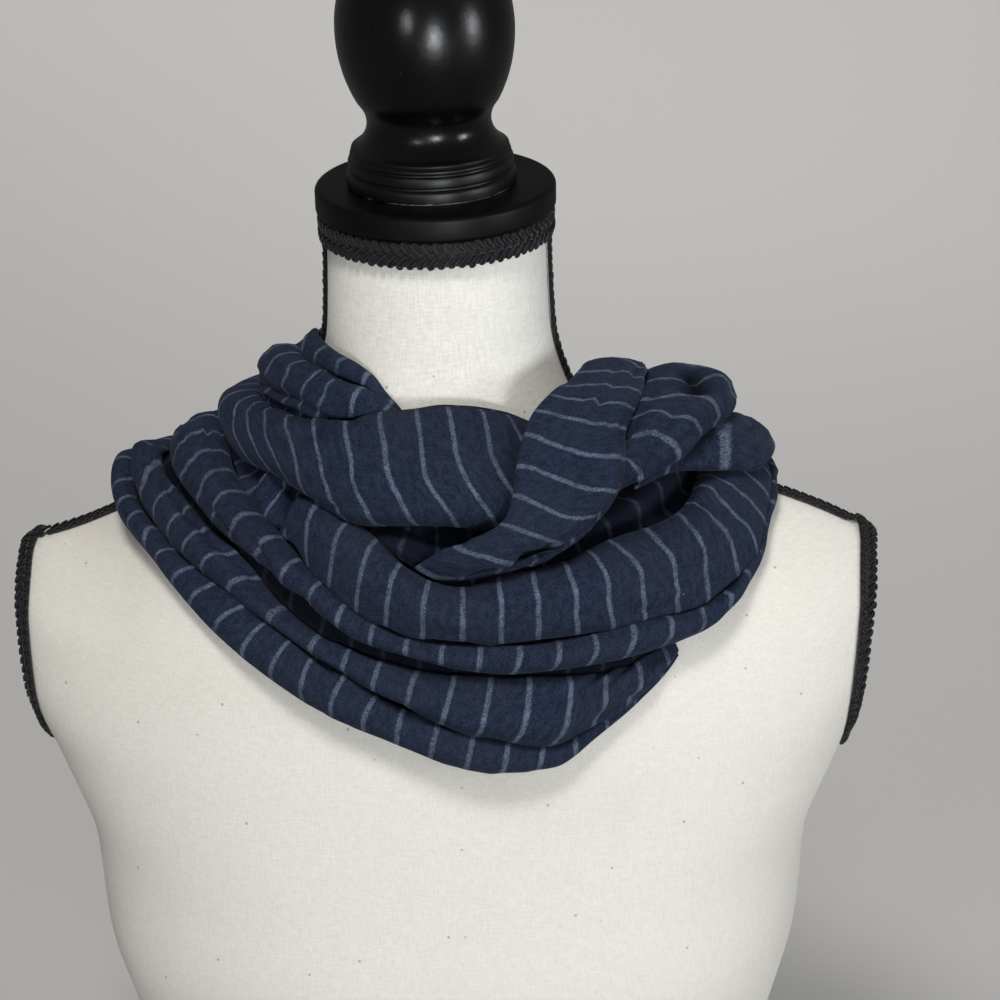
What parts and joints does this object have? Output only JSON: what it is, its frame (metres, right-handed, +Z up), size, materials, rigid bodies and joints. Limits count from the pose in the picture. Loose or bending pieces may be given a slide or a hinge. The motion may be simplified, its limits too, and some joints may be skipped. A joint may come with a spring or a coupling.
{
  "type": "infinity scarf on a dress form",
  "caption": "Soft jersey infinity scarf, wound and crossed in loose folds round the neck of a limbless tabletop dress form that displays it.",
  "frame": {"origin": "centre of the form's flat underside, on the surface it stands on", "axes": "+Z up through the neck and finial, -Y towards the chest's front, +X towards the viewer's right when it is seen from the front"},
  "size_m": [0.4006, 0.2379, 0.7254],
  "materials": {
    "linen_cover": "matte off-white linen weave",
    "scarf_jersey": "matte heathered navy jersey with thin paler stripes",
    "braid_trim": "soft satin black gimp braid",
    "cap_disc": "satin black lacquer",
    "finial_lacquer": "glossy black lacquer"
  },
  "bodies": {
    "root": {"form_body": "linen_cover", "neck_cap": "cap_disc", "finial": "finial_lacquer", "neck_braid": "braid_trim", "armhole_braid_left": "braid_trim", "armhole_braid_right": "braid_trim", "shoulder_braid_left": "braid_trim", "shoulder_braid_right": "braid_trim", "chest_wrap_front": "scarf_jersey", "chest_wrap_back": "scarf_jersey", "lowest_wrap_front": "scarf_jersey", "lowest_wrap_back": "scarf_jersey", "neck_wrap_front": "scarf_jersey", "neck_wrap_back": "scarf_jersey", "crossing": "scarf_jersey", "shoulder_roll": "scarf_jersey", "stretch_behind": "scarf_jersey"}
  },
  "joints": []
}
